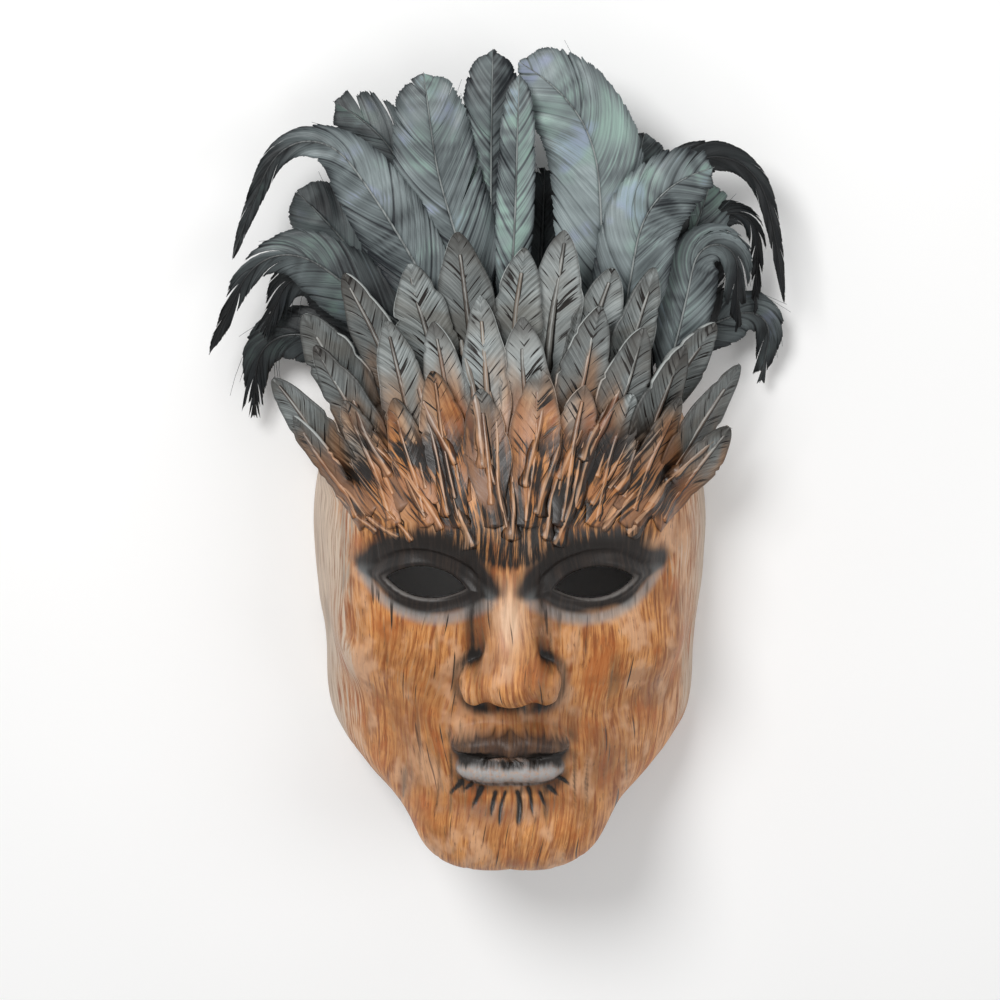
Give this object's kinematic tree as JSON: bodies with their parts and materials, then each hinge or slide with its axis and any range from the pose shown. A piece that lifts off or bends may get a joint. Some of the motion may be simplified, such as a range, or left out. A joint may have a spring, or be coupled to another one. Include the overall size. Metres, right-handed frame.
{
  "type": "feathered mask",
  "caption": "Cast rubber face mask with moulded feathers rising from the brow, a crest of loose black feathers behind them and an elastic round the back.",
  "frame": {"origin": "on the surface that the mask lies on, under the middle of its whole box", "axes": "+X to the right as one looks at the face, +Y up the face from the chin to the crest, +Z out of the face, which is up as the mask lies on its back"},
  "size_m": [0.2372, 0.3318, 0.1119],
  "materials": {
    "cast_rubber": "cast latex painted as brown wood with black washes, grey feathers at the brow and pale grey edges, satin",
    "black_feather": null,
    "elastic": "woven black elastic with fine ribs, matt"
  },
  "bodies": {
    "root": {"mask_shell": "cast_rubber", "feather_crest_middle": "black_feather", "feather_crest_slim": "black_feather", "feather_crest_right": "black_feather", "feather_crest_left": "black_feather", "feather_middle_back": "black_feather", "feather_left_sickle": "black_feather", "feather_left_shoulder": "black_feather", "feather_left_drooping": "black_feather", "feather_left_hanging": "black_feather", "feather_left_fill": "black_feather", "feather_left_back": "black_feather", "feather_left_low": "black_feather", "feather_right_sickle": "black_feather", "feather_right_shoulder": "black_feather", "feather_right_upright": "black_feather", "feather_right_hanging": "black_feather", "feather_right_drooping": "black_feather", "feather_right_fill": "black_feather", "feather_right_low": "black_feather", "head_strap": "elastic"}
  },
  "joints": []
}
